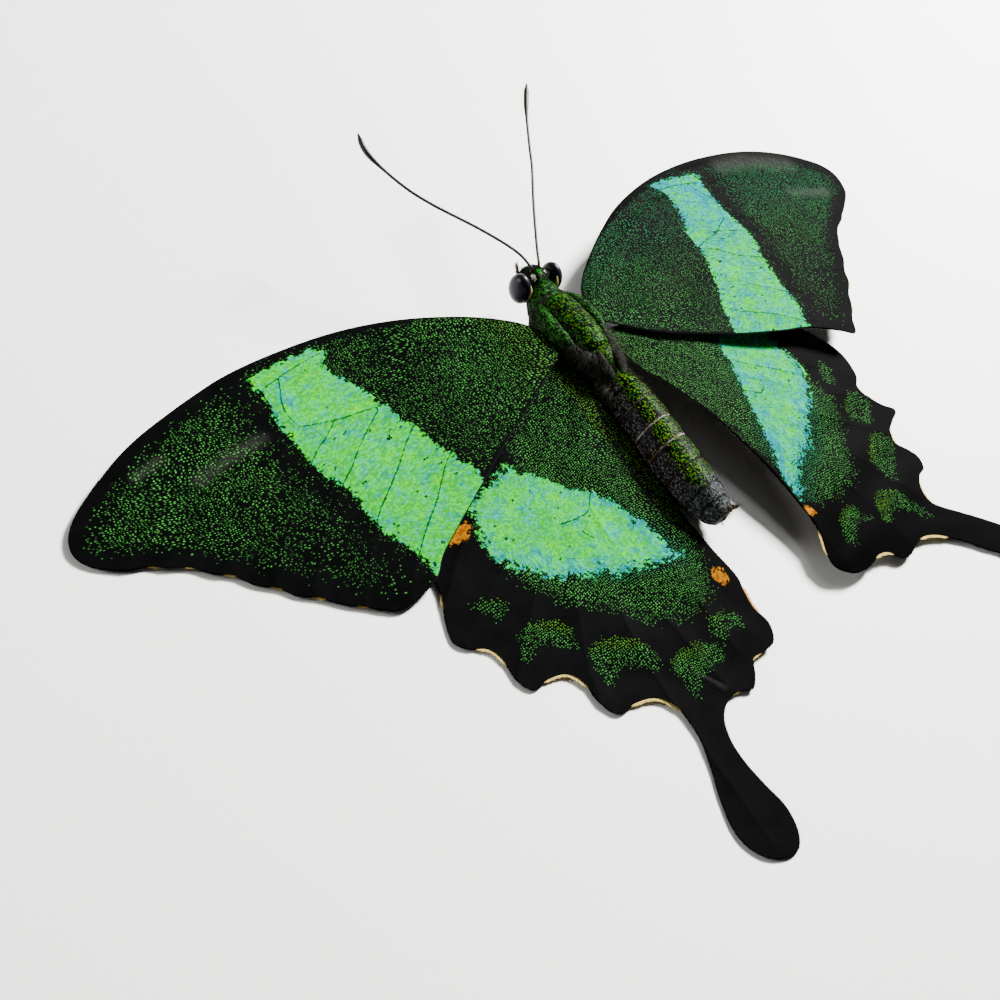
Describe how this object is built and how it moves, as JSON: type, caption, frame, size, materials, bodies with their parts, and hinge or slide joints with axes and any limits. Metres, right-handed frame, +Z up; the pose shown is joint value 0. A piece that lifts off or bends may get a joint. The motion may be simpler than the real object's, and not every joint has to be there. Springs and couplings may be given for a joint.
{
  "type": "spread butterfly specimen",
  "caption": "Dried swallowtail butterfly with its wings spread and its back up, green-banded black wings with spoon tails, lying flat on a surface.",
  "frame": {"origin": "middle of the underside of the whole object's box, on the surface that the butterfly lies on", "axes": "+Y towards the head, +X towards the butterfly's right wings, +Z up out of its back"},
  "size_m": [0.1046, 0.076, 0.0116],
  "materials": {
    "wing_scales": "powdery, fine iridescent scales",
    "body_scales": "hairy, scaled",
    "abdomen_scales": "dry, scaled, satin",
    "eye": "glossy",
    "antenna": "dry horn, satin",
    "leg": "dry horn, satin"
  },
  "bodies": {
    "root": {"abdomen": "abdomen_scales", "antenna_left": "antenna", "antenna_right": "antenna", "eye_left": "eye", "eye_right": "eye", "forewing_left": "wing_scales", "forewing_right": "wing_scales", "head": "body_scales", "hindwing_left": "wing_scales", "hindwing_right": "wing_scales", "leg_front_left": "leg", "leg_front_right": "leg", "leg_hind_left": "leg", "leg_hind_right": "leg", "leg_middle_left": "leg", "leg_middle_right": "leg", "palp_left": "body_scales", "palp_right": "body_scales", "thorax": "body_scales"}
  },
  "joints": []
}
